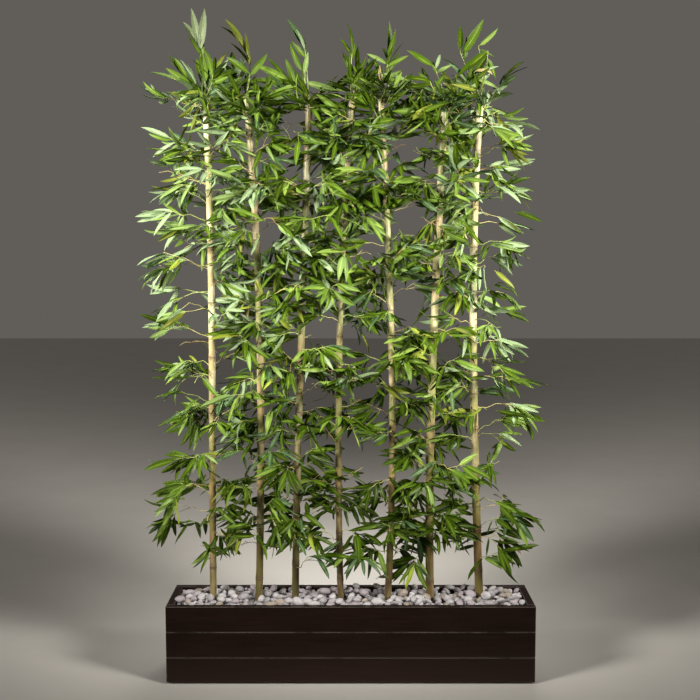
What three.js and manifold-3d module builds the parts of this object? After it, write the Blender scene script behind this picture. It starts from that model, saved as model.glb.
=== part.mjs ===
// Artificial bamboo screen: seven cane stems with masses of silk leaves, set in pebbles in a slatted planter.
// Millimetres, +Z up. The origin is on the floor under the middle of the planter, and +Y points to its back.
import * as THREE from "three";
import { mergeVertices } from "three/addons/utils/BufferGeometryUtils.js";
import Module from "manifold-3d";

const wasm = await Module();
wasm.setup();

// Planter: three rows of slats on runners, with a floor board, corner posts, a fill block and pebbles.
const PLANTER_LENGTH = 1000;
const PLANTER_DEPTH = 200;
const PLANTER_HEIGHT = 215;
const BOARD_THICKNESS = 20;
const BOARD_ROWS = ["low", "middle", "top"];
const GROOVE = 2;
const FOOT_HEIGHT = 5;
const FOOT_WIDTH = 14;
const FOOT_INSET = 22;
const FOOT_END_GAP = 12;
const FOOT_DEPTH = PLANTER_DEPTH - 2 * FOOT_END_GAP;
const FLOOR_THICKNESS = 12;
const POST_SIDE = 28;
const PEBBLE_DEPTH = 30;
const PEBBLE_TOP = 207;
const PEBBLE_STEPS = [16, 4];
const PEBBLE_ROUGHNESS = 3;
const PEBBLE_WAVE = { along: 23, across: 17, skew: 41 };
// GAP is the clearance between neighbours, and CUT_BEYOND is how far a cutter passes what it cuts.
const GAP = 0.3;
const CUT_BEYOND = 1;
const MERGE_DISTANCE = 1e-3;

// Canes: base place, lean of the top against the base, sideways bow at mid height and sway about it,
// diameter at the pebbles, share of it left at the top, and height of the cut top.
const CANES = [
  { x: -386, y: 26, leanX: -3, leanY: -20, bow: 6.5, sway: -2, diameter: 19.5, taper: 0.97, top: 1578 },
  { x: -255, y: -9, leanX: -24, leanY: 6, bow: 20, sway: -1.5, diameter: 21, taper: 0.9, top: 1585 },
  { x: -154, y: -9, leanX: 43, leanY: 12, bow: -3.5, sway: -1, diameter: 21, taper: 0.9, top: 1582 },
  { x: -28, y: 11, leanX: 29.5, leanY: -8, bow: -18, sway: 0.5, diameter: 19, taper: 0.93, top: 1572 },
  { x: 104, y: 11, leanX: -25, leanY: -6, bow: 20.5, sway: 1.5, diameter: 20, taper: 0.88, top: 1588 },
  { x: 222, y: 21, leanX: 31, leanY: -15, bow: -11.5, sway: -1.5, diameter: 24, taper: 0.84, top: 1575 },
  { x: 363, y: 45, leanX: -15, leanY: -35, bow: -17.5, sway: 2.5, diameter: 24, taper: 0.78, top: 1570 },
];
const CANE_SIDES = 10;
const CANE_STEPS = 11;
const CUTTER_SIDES = 6;

// Masses of leaves on each cane from the lowest up: lowest and highest point, how far the leaves reach
// from the cane to each side, and how many sprays stand above each other in the mass.
const MASSES = [
  [
    { name: "foot", from: 330, to: 588, left: 198, right: 72, front: 120, back: 130, sprays: 2 },
    { name: "low", from: 604, to: 905, left: 150, right: 74, front: 150, back: 140, sprays: 3 },
    { name: "middle", from: 926, to: 1168, left: 200, right: 76, front: 150, back: 165, sprays: 2 },
    { name: "high", from: 1186, to: 1486, left: 194, right: 76, front: 165, back: 150, sprays: 3 },
    { name: "crown", from: 1502, to: 1816, left: 150, right: 80, front: 135, back: 130, sprays: 2 },
  ],
  [
    { name: "low", from: 350, to: 700, left: 74, right: 70, front: 150, back: 140, sprays: 3 },
    { name: "middle", from: 716, to: 1082, left: 76, right: 74, front: 165, back: 165, sprays: 3 },
    { name: "high", from: 1100, to: 1448, left: 78, right: 80, front: 165, back: 170, sprays: 3 },
    { name: "crown", from: 1466, to: 1790, left: 78, right: 86, front: 140, back: 140, sprays: 2 },
  ],
  [
    { name: "low", from: 262, to: 646, left: 68, right: 76, front: 155, back: 135, sprays: 3 },
    { name: "middle", from: 664, to: 992, left: 74, right: 76, front: 160, back: 165, sprays: 3 },
    { name: "high", from: 1010, to: 1396, left: 78, right: 74, front: 170, back: 165, sprays: 3 },
    { name: "crown", from: 1414, to: 1766, left: 86, right: 76, front: 150, back: 150, sprays: 2 },
  ],
  [
    { name: "low", from: 300, to: 610, left: 74, right: 74, front: 140, back: 150, sprays: 3 },
    { name: "middle", from: 628, to: 930, left: 76, right: 78, front: 160, back: 160, sprays: 3 },
    { name: "high", from: 950, to: 1360, left: 74, right: 72, front: 165, back: 170, sprays: 4 },
    { name: "crown", from: 1378, to: 1768, left: 72, right: 64, front: 140, back: 150, sprays: 2 },
  ],
  [
    { name: "low", from: 240, to: 590, left: 74, right: 74, front: 160, back: 130, sprays: 3 },
    { name: "middle", from: 610, to: 940, left: 80, right: 70, front: 155, back: 165, sprays: 3 },
    { name: "high", from: 960, to: 1404, left: 74, right: 76, front: 170, back: 165, sprays: 4 },
    { name: "crown", from: 1422, to: 1770, left: 62, right: 92, front: 145, back: 145, sprays: 2 },
  ],
  [
    { name: "low", from: 330, to: 690, left: 70, right: 76, front: 150, back: 140, sprays: 3 },
    { name: "middle", from: 708, to: 1030, left: 70, right: 74, front: 160, back: 155, sprays: 3 },
    { name: "high", from: 1050, to: 1412, left: 78, right: 68, front: 165, back: 170, sprays: 3 },
    { name: "crown", from: 1430, to: 1712, left: 96, right: 60, front: 135, back: 150, sprays: 2 },
  ],
  [
    { name: "foot", from: 300, to: 618, left: 76, right: 178, front: 130, back: 115, sprays: 2 },
    { name: "low", from: 636, to: 888, left: 76, right: 196, front: 150, back: 140, sprays: 2 },
    { name: "middle", from: 906, to: 1180, left: 70, right: 156, front: 165, back: 150, sprays: 3 },
    { name: "high", from: 1198, to: 1486, left: 64, right: 160, front: 170, back: 155, sprays: 3 },
    { name: "crown", from: 1504, to: 1808, left: 62, right: 136, front: 140, back: 130, sprays: 2 },
  ],
];
const MASS_SIDES = 10;
const MASS_STEP = 44;
const MASS_LEAST_STEPS = 4;
const MASS_END = 0.42;
const PLAN_SQUARENESS = 2.8;
const SPRAY_WAIST = 0.66;
const PLUME_START = 0.42;
const PLUME_TIP = 0.3;
const UNEVENNESS = 0.13;
// Ripples round a mass: waves in a turn, shift from mass to mass, twist over the height, and strength.
const RIPPLES = [
  { waves: 3, shift: 1.7, twist: 5, strength: 0.6 },
  { waves: 5, shift: -2.3, twist: 9, strength: 0.4 },
];
const SEEDS_PER_CANE = 5;
const SEAM_WAVE = { depth: 11, up: 62, across: 90, shift: 2.1 };
const SEAM_GAP = 5;

const FINISHES = {
  planter: { color: 0x1a120d, roughness: 0.5, metalness: 0 },
  feet: { color: 0x8d8a84, roughness: 0.7, metalness: 0 },
  fill: { color: 0x6f6a62, roughness: 0.95, metalness: 0 },
  pebbles: { color: 0xd9d5cd, roughness: 0.6, metalness: 0 },
  cane: { color: 0xc9b98a, roughness: 0.45, metalness: 0 },
  foliage: { color: 0x3c6b2a, roughness: 0.6, metalness: 0 },
};

const root = new THREE.Group();

function addMesh(name, geometry, finish, x = 0, y = 0, z = 0) {
  const mesh = new THREE.Mesh(geometry, new THREE.MeshStandardMaterial(FINISHES[finish]));
  mesh.name = name;
  mesh.position.set(x, y, z);
  root.add(mesh);
}

// A closed geometry as a solid that can be joined or cut.
function toSolid(geometry) {
  const bare = geometry.clone();
  bare.deleteAttribute("normal");
  bare.deleteAttribute("uv");
  const merged = mergeVertices(bare, MERGE_DISTANCE);
  const vertProperties = new Float32Array(merged.getAttribute("position").array);
  const triVerts = new Uint32Array(merged.index.array);
  return new wasm.Manifold(new wasm.Mesh({ numProp: 3, vertProperties, triVerts }));
}

function toGeometry(solid) {
  const { vertProperties, triVerts } = solid.getMesh();
  const geometry = new THREE.BufferGeometry();
  geometry.setAttribute("position", new THREE.BufferAttribute(vertProperties, 3));
  geometry.setIndex(new THREE.BufferAttribute(triVerts, 1));
  geometry.computeVertexNormals();
  return geometry;
}

function cut(geometry, cutters) {
  const solid = toSolid(geometry);
  return toGeometry(cutters.reduce((rest, cutter) => rest.subtract(toSolid(cutter)), solid));
}

// The middle of a cane at a height: its base, its lean, a bow that is greatest at mid height, and a sway
// to one side in the lower half and to the other in the upper half.
function caneMiddle(cane, z) {
  const t = (z - PEBBLE_TOP) / (cane.top - PEBBLE_TOP);
  const bend = cane.bow * 4 * t * (1 - t) + cane.sway * Math.sin(2 * Math.PI * t);
  return { x: cane.x + cane.leanX * t + bend, y: cane.y + cane.leanY * t };
}

function caneRadius(cane, z) {
  const t = Math.max(0, (z - PEBBLE_TOP) / (cane.top - PEBBLE_TOP));
  return (cane.diameter / 2) * (1 - (1 - cane.taper) * t);
}

// A closed column round the Z axis with a point at each end, whose rings are then set out by place(angle, z).
function column(from, to, steps, sides, place) {
  const profile = [new THREE.Vector2(0, from)];
  for (let i = 0; i <= steps; i += 1) {
    profile.push(new THREE.Vector2(1, from + ((to - from) * i) / steps));
  }
  profile.push(new THREE.Vector2(0, to));
  const geometry = new THREE.LatheGeometry(profile, sides).rotateX(Math.PI / 2);
  const position = geometry.getAttribute("position");
  for (let i = 0; i < position.count; i += 1) {
    const side = Math.hypot(position.getX(i), position.getY(i)) > 0.5;
    const angle = Math.atan2(position.getY(i), position.getX(i));
    const z = position.getZ(i);
    const { x, y } = place(side ? angle : null, z);
    position.setXY(i, x, y);
  }
  return geometry;
}

function caneGeometry(cane, sides, from, to, scale) {
  return column(from, to, CANE_STEPS, sides, (angle, z) => {
    const middle = caneMiddle(cane, z);
    const radius = angle === null ? 0 : caneRadius(cane, z) * scale;
    return { x: middle.x + radius * Math.cos(angle), y: middle.y + radius * Math.sin(angle) };
  });
}

// The hole that a cane needs in what surrounds it: flat sides that clear the round cane all the way.
function caneCutter(cane, from, to) {
  const clear = 1 + (2 * GAP) / (cane.diameter * cane.taper);
  return caneGeometry(cane, CUTTER_SIDES, from, to, clear / Math.cos(Math.PI / CUTTER_SIDES));
}

// The wavy seam between the leaves of one cane and of the next.
function seam(index, y, z) {
  const here = caneMiddle(CANES[index], z).x;
  const next = caneMiddle(CANES[index + 1], z).x;
  const turn = z / SEAM_WAVE.up + SEAM_WAVE.shift * index + y / SEAM_WAVE.across;
  return (here + next) / 2 + SEAM_WAVE.depth * Math.sin(turn);
}

// How full a mass is at a share of its height: it swells at each spray, and a crown narrows into its plume.
function fullness(mass, share) {
  const spray = Math.abs(Math.sin(Math.PI * share * mass.sprays));
  const swell = SPRAY_WAIST + (1 - SPRAY_WAIST) * spray;
  if (mass.name !== "crown" || share < PLUME_START) {
    return swell;
  }
  return swell * (1 - ((1 - PLUME_TIP) * (share - PLUME_START)) / (1 - PLUME_START));
}

// How far the outline of a mass draws in at an angle and a share of its height.
function ripple(seed, angle, share) {
  const sum = RIPPLES.reduce((total, { waves, shift, twist, strength }) => {
    return total + strength * Math.sin(waves * angle + shift * seed + twist * share);
  }, 1);
  return 1 - UNEVENNESS * sum;
}

function massGeometry(index, mass, seed) {
  const cane = CANES[index];
  const steps = Math.max(MASS_LEAST_STEPS, Math.round((mass.to - mass.from) / MASS_STEP));
  const ends = [mass.from, mass.to];
  const points = [];
  const geometry = column(mass.from, mass.to, steps, MASS_SIDES, (angle, z) => {
    if (angle === null) {
      points.push({ x: 0, y: 0 });
      return { x: 0, y: 0 };
    }
    const share = (z - mass.from) / (mass.to - mass.from);
    const across = Math.abs(Math.cos(angle)) / (Math.cos(angle) > 0 ? mass.right : mass.left);
    const along = Math.abs(Math.sin(angle)) / (Math.sin(angle) > 0 ? mass.back : mass.front);
    const outline = 1 / (across ** PLAN_SQUARENESS + along ** PLAN_SQUARENESS) ** (1 / PLAN_SQUARENESS);
    const end = ends.includes(z) ? MASS_END : 1;
    const radius = end * fullness(mass, share) * ripple(seed, angle, share) * outline;
    points.push({ x: radius * Math.cos(angle), y: radius * Math.sin(angle) });
    return points.at(-1);
  });
  const widest = {
    right: Math.max(...points.map((p) => p.x)),
    left: -Math.min(...points.map((p) => p.x)),
    back: Math.max(...points.map((p) => p.y)),
    front: -Math.min(...points.map((p) => p.y)),
  };
  const position = geometry.getAttribute("position");
  points.forEach((point, i) => {
    const z = position.getZ(i);
    const middle = caneMiddle(cane, z);
    const sideways = point.x > 0 ? mass.right / widest.right : mass.left / widest.left;
    const depthways = point.y > 0 ? mass.back / widest.back : mass.front / widest.front;
    const y = middle.y + point.y * depthways;
    const lowest = index > 0 ? seam(index - 1, y, z) + SEAM_GAP : -Infinity;
    const highest = index < CANES.length - 1 ? seam(index, y, z) - SEAM_GAP : Infinity;
    position.setXY(i, THREE.MathUtils.clamp(middle.x + point.x * sideways, lowest, highest), y);
  });
  return geometry;
}

// Runners under the planter: one near each end and one in the middle.
const footSpan = PLANTER_LENGTH / 2 - FOOT_INSET;
[
  ["foot_left", -footSpan],
  ["foot_middle", 0],
  ["foot_right", footSpan],
].forEach(([name, x]) => {
  addMesh(name, new THREE.BoxGeometry(FOOT_WIDTH, FOOT_DEPTH, FOOT_HEIGHT), "feet", x, 0, FOOT_HEIGHT / 2);
});

// Slats: long ones in front and behind, short ones between them at the ends.
const boardHeight = (PLANTER_HEIGHT - FOOT_HEIGHT - GROOVE * (BOARD_ROWS.length - 1)) / BOARD_ROWS.length;
const boardsFrom = FOOT_HEIGHT + GAP;
const endLength = PLANTER_DEPTH - 2 * BOARD_THICKNESS - 2 * GAP;
const frontY = (PLANTER_DEPTH - BOARD_THICKNESS) / 2;
const endX = (PLANTER_LENGTH - BOARD_THICKNESS) / 2;
BOARD_ROWS.forEach((row, i) => {
  const bottom = i === 0 ? boardsFrom : FOOT_HEIGHT + i * (boardHeight + GROOVE);
  const top = FOOT_HEIGHT + i * (boardHeight + GROOVE) + boardHeight;
  const z = (bottom + top) / 2;
  const long = () => new THREE.BoxGeometry(PLANTER_LENGTH, BOARD_THICKNESS, top - bottom);
  const short = () => new THREE.BoxGeometry(BOARD_THICKNESS, endLength, top - bottom);
  addMesh(`front_board_${row}`, long(), "planter", 0, -frontY, z);
  addMesh(`back_board_${row}`, long(), "planter", 0, frontY, z);
  addMesh(`left_board_${row}`, short(), "planter", -endX, 0, z);
  addMesh(`right_board_${row}`, short(), "planter", endX, 0, z);
});

// Inside: the floor board, the posts that join the slats, and the block that holds the canes.
const innerLength = PLANTER_LENGTH - 2 * BOARD_THICKNESS - 2 * GAP;
const innerDepth = PLANTER_DEPTH - 2 * BOARD_THICKNESS - 2 * GAP;
const floorTop = boardsFrom + FLOOR_THICKNESS;
const blockFrom = floorTop + GAP;
const blockTop = PEBBLE_TOP - PEBBLE_DEPTH;
const blockHeight = blockTop - blockFrom;
addMesh(
  "floor_board",
  new THREE.BoxGeometry(innerLength, innerDepth, FLOOR_THICKNESS),
  "planter",
  0,
  0,
  boardsFrom + FLOOR_THICKNESS / 2,
);
const postX = (innerLength - POST_SIDE) / 2;
const postY = (innerDepth - POST_SIDE) / 2;
const blockMiddle = blockFrom + blockHeight / 2;
const postSpaces = [];
[
  ["corner_post_front_left", -1, -1],
  ["corner_post_front_right", 1, -1],
  ["corner_post_back_left", -1, 1],
  ["corner_post_back_right", 1, 1],
].forEach(([name, x, y]) => {
  const post = new THREE.BoxGeometry(POST_SIDE, POST_SIDE, blockHeight);
  addMesh(name, post, "planter", x * postX, y * postY, blockMiddle);
  const side = POST_SIDE + 2 * GAP;
  const space = new THREE.BoxGeometry(side, side, blockHeight + 2 * CUT_BEYOND);
  postSpaces.push(space.translate(x * postX, y * postY, blockMiddle));
});
const caneSpaces = CANES.map((cane) => caneCutter(cane, floorTop, cane.top + CUT_BEYOND));
const block = new THREE.BoxGeometry(innerLength, innerDepth, blockHeight).translate(0, 0, blockMiddle);
addMesh("fill_block", cut(block, [...postSpaces, ...caneSpaces]), "fill");

// The bed of pebbles, with a slightly rough top.
const bedFrom = blockTop + GAP;
const bedMiddle = (PEBBLE_TOP + bedFrom) / 2;
const bed = new THREE.BoxGeometry(innerLength, innerDepth, PEBBLE_TOP - bedFrom, ...PEBBLE_STEPS, 1);
bed.translate(0, 0, bedMiddle);
const bedPosition = bed.getAttribute("position");
for (let i = 0; i < bedPosition.count; i += 1) {
  if (bedPosition.getZ(i) > bedMiddle) {
    const x = bedPosition.getX(i);
    const y = bedPosition.getY(i);
    const wave = Math.sin(x / PEBBLE_WAVE.along) + Math.sin(y / PEBBLE_WAVE.across + x / PEBBLE_WAVE.skew);
    bedPosition.setZ(i, PEBBLE_TOP + (PEBBLE_ROUGHNESS / 2) * wave);
  }
}
addMesh("pebble_bed", cut(bed, caneSpaces), "pebbles");

// Canes, each whole from the floor board up into its crown of leaves.
CANES.forEach((cane, i) => {
  addMesh(`cane_${i + 1}`, caneGeometry(cane, CANE_SIDES, floorTop + GAP, cane.top, 1), "cane");
});

// Masses of leaves, each cut round its cane.
MASSES.forEach((masses, i) => {
  masses.forEach((mass, j) => {
    const shape = massGeometry(i, mass, i * SEEDS_PER_CANE + j);
    addMesh(`leaves_${i + 1}_${mass.name}`, cut(shape, [caneSpaces[i]]), "foliage");
  });
});

export default root;
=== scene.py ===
"""Artificial bamboo screen: seven canes with sprays of silk leaves, in pebbles in a long slatted planter.

Metres, +Z up. The origin is on the floor under the middle of the planter, and +Y points to its back.
"""

import math
import random

import bmesh
import bpy
import numpy as np
from mathutils import Matrix, Quaternion, Vector


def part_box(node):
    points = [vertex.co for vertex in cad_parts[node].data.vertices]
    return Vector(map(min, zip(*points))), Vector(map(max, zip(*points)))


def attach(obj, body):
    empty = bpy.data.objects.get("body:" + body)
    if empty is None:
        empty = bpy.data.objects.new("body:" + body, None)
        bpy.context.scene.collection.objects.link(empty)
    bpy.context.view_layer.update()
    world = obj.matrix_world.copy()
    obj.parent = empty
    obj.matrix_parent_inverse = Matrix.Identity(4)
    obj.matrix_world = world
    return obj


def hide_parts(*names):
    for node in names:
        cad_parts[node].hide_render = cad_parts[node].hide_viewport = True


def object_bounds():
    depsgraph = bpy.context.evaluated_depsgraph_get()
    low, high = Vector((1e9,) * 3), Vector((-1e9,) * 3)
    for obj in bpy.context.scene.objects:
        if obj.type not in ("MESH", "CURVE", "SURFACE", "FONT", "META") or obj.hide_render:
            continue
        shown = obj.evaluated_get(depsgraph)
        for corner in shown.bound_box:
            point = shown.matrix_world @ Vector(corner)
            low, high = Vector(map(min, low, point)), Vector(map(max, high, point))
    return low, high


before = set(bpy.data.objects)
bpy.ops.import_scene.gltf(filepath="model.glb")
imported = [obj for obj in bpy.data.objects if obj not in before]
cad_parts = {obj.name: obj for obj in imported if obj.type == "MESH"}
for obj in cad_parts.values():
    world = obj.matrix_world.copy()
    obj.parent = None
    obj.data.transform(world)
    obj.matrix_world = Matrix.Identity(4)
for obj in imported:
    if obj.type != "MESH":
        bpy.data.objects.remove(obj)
cad_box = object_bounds()

MM = 0.001
SAME_PLACE = 0.01 * MM
UP = Vector((0, 0, 1))
FLAT_MAP = "OFBake"

CANE_COUNT = 7
CANE_NAMES = [f"cane_{number}" for number in range(1, CANE_COUNT + 1)]
LEAF_NODES = [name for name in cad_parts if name.startswith("leaves_")]


# Pieces and meshes

def add_piece(name, mesh, materials, replaced=()):
    """Adds a finished mesh as a piece of the screen, which may stand for some of the CAD nodes."""
    for material in materials:
        mesh.materials.append(material)
    piece = bpy.data.objects.new(name, mesh)
    bpy.context.scene.collection.objects.link(piece)
    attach(piece, "root")
    if replaced:
        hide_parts(*replaced)
    return piece


def mesh_from(bm, name, smooth=True):
    """A mesh from a bmesh, which is then freed."""
    for face in bm.faces:
        face.smooth = smooth
    mesh = bpy.data.meshes.new(name)
    bm.to_mesh(mesh)
    bm.free()
    return mesh


class Shape:
    """A small shape that is repeated many times: its points, faces, material places and flat map."""

    def __init__(self, bm):
        bm.verts.index_update()
        flat_map = bm.loops.layers.uv.active
        loops = [loop for face in bm.faces for loop in face.loops]
        self.points = np.array([vertex.co for vertex in bm.verts])
        self.corners = np.array([loop.vert.index for loop in loops])
        self.counts = np.array([len(face.verts) for face in bm.faces])
        self.materials = np.array([face.material_index for face in bm.faces])
        self.uv = None
        if flat_map:
            self.uv = np.array([loop[flat_map].uv for loop in loops])
        bm.free()


def joined_mesh(name, placed):
    """One mesh of many placed shapes. Each entry is a shape, its 3 by 3 turn and scale, and its place."""
    shapes = [shape for shape, _, _ in placed]
    moved = [shape.points @ np.asarray(turn).T + np.asarray(place) for shape, turn, place in placed]
    points = np.concatenate(moved).astype(np.float32)
    offsets = np.cumsum([0] + [len(part) for part in moved])
    corners = np.concatenate([shape.corners + offset for shape, offset in zip(shapes, offsets)])
    counts = np.concatenate([shape.counts for shape in shapes])
    starts = np.concatenate([[0], np.cumsum(counts)[:-1]])
    mesh = bpy.data.meshes.new(name)
    mesh.vertices.add(len(points))
    mesh.vertices.foreach_set("co", points.ravel())
    mesh.loops.add(len(corners))
    mesh.loops.foreach_set("vertex_index", corners.astype(np.int32))
    mesh.polygons.add(len(counts))
    mesh.polygons.foreach_set("loop_start", starts.astype(np.int32))
    materials = np.concatenate([shape.materials for shape in shapes])
    mesh.polygons.foreach_set("material_index", materials.astype(np.int32))
    mesh.polygons.foreach_set("use_smooth", np.ones(len(counts), bool))
    maps = [shape.uv for shape in shapes if shape.uv is not None]
    if maps:
        flat_map = mesh.uv_layers.new(name=FLAT_MAP)
        flat_map.data.foreach_set("uv", np.concatenate(maps).astype(np.float32).ravel())
    mesh.update(calc_edges=True)
    return mesh


# Nodes of materials

class Tree:
    """Adds nodes to a material or a group and links them."""

    def __init__(self, tree):
        self.tree = tree

    def add(self, kind, values=None, **settings):
        node = self.tree.nodes.new(kind)
        for setting, value in settings.items():
            setattr(node, setting, value)
        for socket, value in (values or {}).items():
            self.put(node.inputs[socket], value)
        return node

    def put(self, socket, value):
        if isinstance(value, bpy.types.NodeSocket):
            self.tree.links.new(value, socket)
        else:
            socket.default_value = value

    def coordinates(self):
        return self.add("ShaderNodeTexCoord").outputs["Object"]

    def mapped(self, vector, scale=(1, 1, 1), location=(0, 0, 0)):
        values = {"Vector": vector, "Scale": scale, "Location": location}
        return self.add("ShaderNodeMapping", values).outputs["Vector"]

    def noise(self, vector, scale, detail=3.0, roughness=0.55):
        values = {"Vector": vector, "Scale": scale, "Detail": detail, "Roughness": roughness}
        return self.add("ShaderNodeTexNoise", values).outputs["Fac"]

    def between(self, value, low, high, to_low=0.0, to_high=1.0):
        values = {"Value": value, "From Min": low, "From Max": high, "To Min": to_low, "To Max": to_high}
        return self.add("ShaderNodeMapRange", values).outputs["Result"]

    def maths(self, operation, first, second):
        return self.add("ShaderNodeMath", {0: first, 1: second}, operation=operation).outputs[0]

    def mixed(self, share, first, second):
        values = {0: share, 6: as_colour(first), 7: as_colour(second)}
        return self.add("ShaderNodeMix", values, data_type="RGBA").outputs[2]

    def ramp(self, value, stops):
        node = self.add("ShaderNodeValToRGB", {"Fac": value})
        elements = node.color_ramp.elements
        while len(elements) < len(stops):
            elements.new(0.5)
        for element, (place, colour) in zip(elements, stops):
            element.position = place
            element.color = as_colour(colour)
        return node.outputs["Color"]

    def bump(self, height, strength, distance):
        values = {"Height": height, "Strength": strength, "Distance": distance}
        return self.add("ShaderNodeBump", values).outputs["Normal"]

    def effect(self, group, values):
        """Places a shared effect with its own values."""
        return self.add("ShaderNodeGroup", values, node_tree=group).outputs


def as_colour(value):
    """A colour of three numbers with its opacity; a socket stays as it is."""
    return value if isinstance(value, bpy.types.NodeSocket) else (*value, 1.0)


def start_material(name, values):
    """A material with only its shader, whose constant values are set on the shader's own sockets."""
    material = bpy.data.materials.new(name)
    material.use_nodes = True
    shader = material.node_tree.nodes["Principled BSDF"]
    for socket, value in values.items():
        shader.inputs[socket].default_value = as_colour(value) if socket == "Base Color" else value
    return material, Tree(material.node_tree), shader.inputs


def start_effect(name, numbers, outputs):
    """A shared effect: a node group with a place, named numbers and named outputs."""
    group = bpy.data.node_groups.new(name, "ShaderNodeTree")
    group.interface.new_socket("Vector", in_out="INPUT", socket_type="NodeSocketVector")
    for socket, value in numbers.items():
        made = group.interface.new_socket(socket, in_out="INPUT", socket_type="NodeSocketFloat")
        made.default_value = value
    for socket in outputs:
        group.interface.new_socket(socket, in_out="OUTPUT", socket_type="NodeSocketFloat")
    tree = Tree(group)
    return group, tree, tree.add("NodeGroupInput").outputs, tree.add("NodeGroupOutput").inputs


def make_blotches():
    """Cloudy patches: 0 where the cloud is under a low limit, 1 where it is over a high one."""
    numbers = {"Scale": 20.0, "Low": 0.4, "High": 0.6}
    group, tree, given, out = start_effect("blotches", numbers, ["Mask"])
    cloud = tree.noise(given["Vector"], given["Scale"], detail=4.0, roughness=0.6)
    tree.put(out["Mask"], tree.between(cloud, given["Low"], given["High"]))
    return group


def make_grain():
    """Fine streaks along a stretched direction, and the pores between them."""
    group, tree, given, out = start_effect("fine_grain", {"Scale": 10.0}, ["Streaks", "Pores"])
    streaks = tree.noise(given["Vector"], given["Scale"], detail=5.0, roughness=0.65)
    finer = tree.maths("MULTIPLY", given["Scale"], 3.7)
    pores = tree.noise(given["Vector"], finer, detail=2.0, roughness=0.5)
    tree.put(out["Streaks"], tree.between(streaks, 0.3, 0.7))
    tree.put(out["Pores"], tree.between(pores, 0.35, 0.55))
    return group


def make_wear_and_highlight():
    """Where an edge is pale, partly rubbed lacquer and partly a painted highlight: broken lengths of it, with
    finer breaks inside.
    """
    group, tree, given, out = start_effect("worn_and_lit_edge", {"Amount": 0.5}, ["Mask"])
    lengths = tree.noise(given["Vector"], 9.0, detail=2.0)
    breaks = tree.noise(given["Vector"], 85.0, detail=2.0)
    both = tree.maths("ADD", tree.maths("MULTIPLY", lengths, 0.7), tree.maths("MULTIPLY", breaks, 0.3))
    low = tree.maths("SUBTRACT", 0.72, tree.maths("MULTIPLY", given["Amount"], 0.4))
    high = tree.maths("ADD", low, 0.12)
    tree.put(out["Mask"], tree.between(both, low, high))
    return group


BLOTCHES = make_blotches()
GRAIN = make_grain()
WEAR_AND_HIGHLIGHT = make_wear_and_highlight()


def patches(tree, place, scale, low=0.4, high=0.6):
    """Cloudy patches at a place, from 0 to 1."""
    return tree.effect(BLOTCHES, {"Vector": place, "Scale": scale, "Low": low, "High": high})["Mask"]


def clouded(name, roughness, dark, light, scale, raised, spread=(0.4, 0.6)):
    """A finish that is cloudy between two tints, with its clouds raised by a strength and a height."""
    material, tree, shader = start_material(name, {"Roughness": roughness})
    cloud = patches(tree, tree.coordinates(), scale, *spread)
    tree.put(shader["Base Color"], tree.mixed(cloud, dark, light))
    if raised:
        tree.put(shader["Normal"], tree.bump(cloud, *raised))
    return material


# Camera, light and floor

# Where the photograph was taken from.
EYE = Vector((-0.0019, -2.9928, 1.1667))
EYE_PITCH = math.radians(5.056)
EYE_LENS = 56.57
LIGHT_COLOUR = (1.0, 0.95, 0.86)


def set_camera():
    data = bpy.data.cameras.new("camera")
    data.lens = EYE_LENS
    data.clip_start = 0.05
    data.clip_end = 60
    camera = bpy.data.objects.new("camera", data)
    camera.location = EYE
    camera.rotation_euler = (math.pi / 2 - EYE_PITCH, 0, 0)
    bpy.context.scene.collection.objects.link(camera)
    bpy.context.scene.camera = camera


def add_light(name, place, target, size, power, spread, glints=True):
    """A round light that points at a target and spreads by so many degrees."""
    data = bpy.data.lights.new(name, "AREA")
    data.spread = math.radians(spread)
    data.shape = "DISK"
    data.size = size
    data.energy = power
    data.color = LIGHT_COLOUR
    light = bpy.data.objects.new(name, data)
    light.location = place
    light.rotation_euler = (Vector(target) - Vector(place)).to_track_quat("-Z", "Y").to_euler()
    light.visible_glossy = glints
    bpy.context.scene.collection.objects.link(light)


def set_light():
    """A soft key light from each side at the front, a weaker one from the back, and a dim warm surround."""
    add_light("light_left", (-2.0, -1.5, 1.9), (-0.40, 0, 1.20), 0.9, 21, spread=50)
    add_light("light_right", (2.0, -1.5, 1.9), (0.40, 0, 1.20), 0.9, 21, spread=50)
    add_light("light_back", (0.4, 2.2, 2.4), (0, 0, 1.3), 1.4, 9, spread=90, glints=False)
    world = bpy.data.worlds.new("studio")
    world.use_nodes = True
    surround = world.node_tree.nodes["Background"].inputs
    surround["Color"].default_value = (0.92, 0.86, 0.78, 1)
    surround["Strength"].default_value = 0.13
    bpy.context.scene.world = world
    bpy.context.scene.view_settings.view_transform = "Standard"


def lay_floor():
    bm = bmesh.new()
    bmesh.ops.create_grid(bm, x_segments=1, y_segments=1, size=12)
    floor = bpy.data.objects.new("floor", mesh_from(bm, "floor", smooth=False))
    greys = (0.60, 0.585, 0.565), (0.62, 0.605, 0.585)
    floor.data.materials.append(clouded("pale_floor", 0.85, *greys, 3.0, None))
    bpy.context.scene.collection.objects.link(floor)


# Planter

BOARD_ROWS = ("low", "middle", "top")
EDGE_ROUNDING = 0.8 * MM
SQUARE_ON = 0.99
ESPRESSO = (0.0060, 0.0028, 0.0018)
ESPRESSO_BROWN = (0.014, 0.0065, 0.0042)
# Pale grey of the board edges: partly rubbed lacquer, partly a painted highlight where the edges catch the
# light.
WORN_AND_LIT_GREY = (0.11, 0.088, 0.076)
DUSTY_BROWN = (0.026, 0.014, 0.010)
DUSTY_HEIGHT = 0.12
# How closely the grain is packed along a board and across it.
ALONG, ACROSS = 0.6, 9.0


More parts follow.
